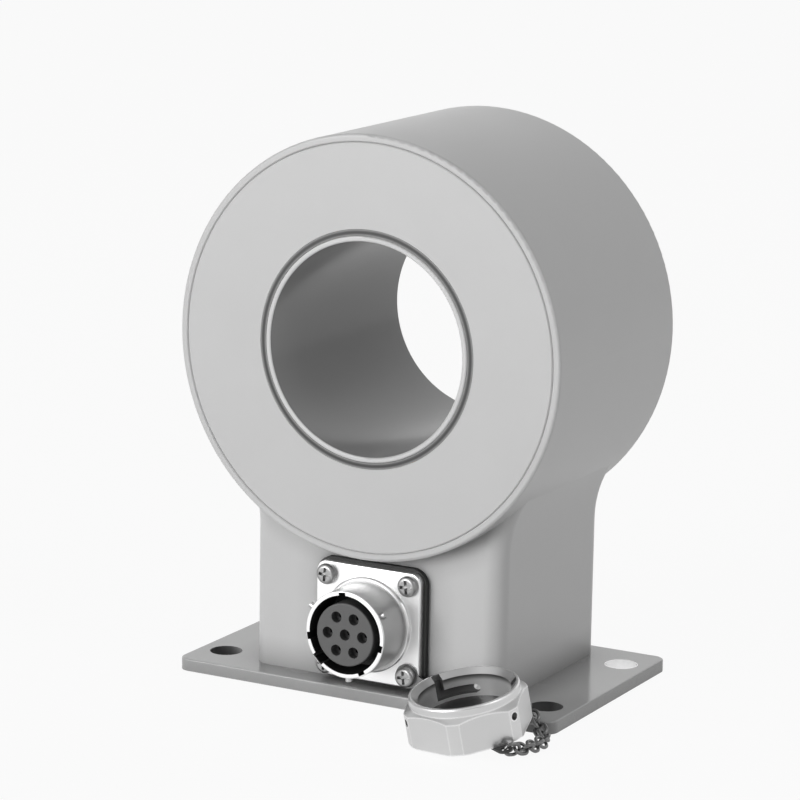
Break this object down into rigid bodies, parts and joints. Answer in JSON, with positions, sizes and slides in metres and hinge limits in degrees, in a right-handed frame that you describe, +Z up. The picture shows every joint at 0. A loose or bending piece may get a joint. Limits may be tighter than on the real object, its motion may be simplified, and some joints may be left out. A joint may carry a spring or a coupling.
{
  "type": "ring current sensor",
  "caption": "Round current transducer on a pedestal foot, with a large through bore, a keyed bayonet signal socket on the front and a dust cap on a chain standing beside it.",
  "frame": {"origin": "centre of the four mounting holes, on the underside of the base plate", "axes": "+X to the right across the front, +Y from the front to the back along the bore, +Z up"},
  "size_m": [0.1204, 0.106, 0.1543],
  "materials": {
    "case_metal": "fine matt, light grey",
    "plate_metal": "fine matt, grey",
    "liner_metal": "satin, turned",
    "black_insulation": "moulded, matt",
    "pad_rubber": "matt",
    "winding_copper": "enamelled wire",
    "core_case_plastic": "moulded",
    "core_alloy": "wound strip",
    "board_laminate": "solder resist",
    "board_black": "moulded",
    "capacitor_sleeve": "shrunk sleeve",
    "resistor_body": "coated",
    "wire_insulation": "extruded",
    "screw_steel": "bright, cross recess",
    "gasket_rubber": "matt black",
    "socket_plating": "satin plating",
    "pin_steel": "ground",
    "insert_plastic": "moulded, grey",
    "contact_plating": "plated",
    "chain_steel": "bright wire",
    "cap_plating": "bright plating",
    "cap_seal_rubber": "matt"
  },
  "bodies": {
    "sensor": {"housing": "case_metal", "front_cover": "case_metal", "base_plate": "plate_metal", "bore_liner": "liner_metal", "front_insulating_ring": "black_insulation", "rear_insulating_ring": "black_insulation", "front_coil_pad": "pad_rubber", "rear_coil_pad": "pad_rubber", "compensation_winding": "winding_copper", "front_excitation_winding": "winding_copper", "rear_excitation_winding": "winding_copper", "core_tray": "core_case_plastic", "core_lid": "core_case_plastic", "core_spacers": "core_case_plastic", "main_core": "core_alloy", "front_excitation_core": "core_alloy", "rear_excitation_core": "core_alloy", "circuit_board": "board_laminate", "integrated_circuits": "board_black", "power_transistor": "board_black", "board_headers": "board_black", "capacitors": "capacitor_sleeve", "resistors": "resistor_body", "coil_leads": "wire_insulation", "socket_wires": "wire_insulation", "board_screws": "screw_steel", "base_screws": "screw_steel", "socket_screws": "screw_steel", "socket_gasket": "gasket_rubber", "socket_shell": "socket_plating", "bayonet_pins": "pin_steel", "insert_clip": "pin_steel", "socket_insert": "insert_plastic", "socket_contacts": "contact_plating", "chain_eyelet": "chain_steel", "chain_links": "chain_steel", "chain_tab": "chain_steel"},
    "cap": {"cap_shell": "cap_plating", "cap_seal": "cap_seal_rubber", "cap_rivet": "pin_steel"}
  },
  "joints": [
    {"name": "cap_swivel", "type": "hinge", "parent": "sensor", "child": "cap", "pos_m": [0.0424, -0.0521, 0.0032], "axis": [-0.119, -0.1579, 0.9803], "continuous": true}
  ]
}
